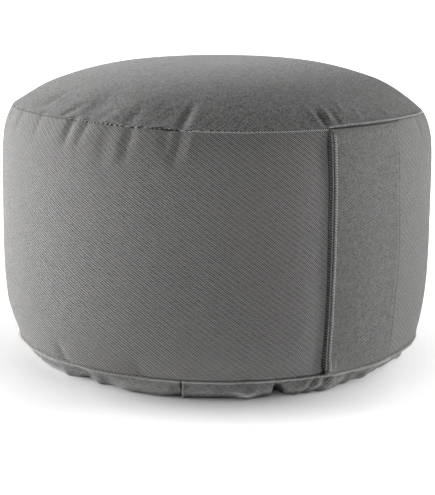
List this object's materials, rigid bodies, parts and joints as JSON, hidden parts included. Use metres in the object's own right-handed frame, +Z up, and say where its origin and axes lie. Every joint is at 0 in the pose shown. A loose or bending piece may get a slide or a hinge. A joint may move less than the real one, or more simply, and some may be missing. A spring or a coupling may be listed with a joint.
{
  "type": "zafu meditation cushion",
  "caption": "Round, firmly filled sitting cushion with a crowned top, a gathered base border and a flat carry strap sewn into both seams.",
  "frame": {"origin": "centre of the flat base, on the surface that the cushion stands on", "axes": "+Z up, -Y out through the middle of the carry strap, +X to the right of someone who faces the strap"},
  "size_m": [0.2999, 0.2994, 0.202],
  "materials": {
    "side_twill": "grey melange cotton twill, matte, diagonal rib about 1.3 mm apart",
    "top_twill": "grey melange cotton twill, matte",
    "base_twill": "grey melange cotton twill, matte, gathered",
    "strap_twill": "grey melange cotton twill folded double, matte, edges stitched"
  },
  "bodies": {
    "root": {"cushion_body": "side_twill", "top_panel": "top_twill", "bottom_panel": "base_twill", "carry_strap": "strap_twill"}
  },
  "joints": []
}
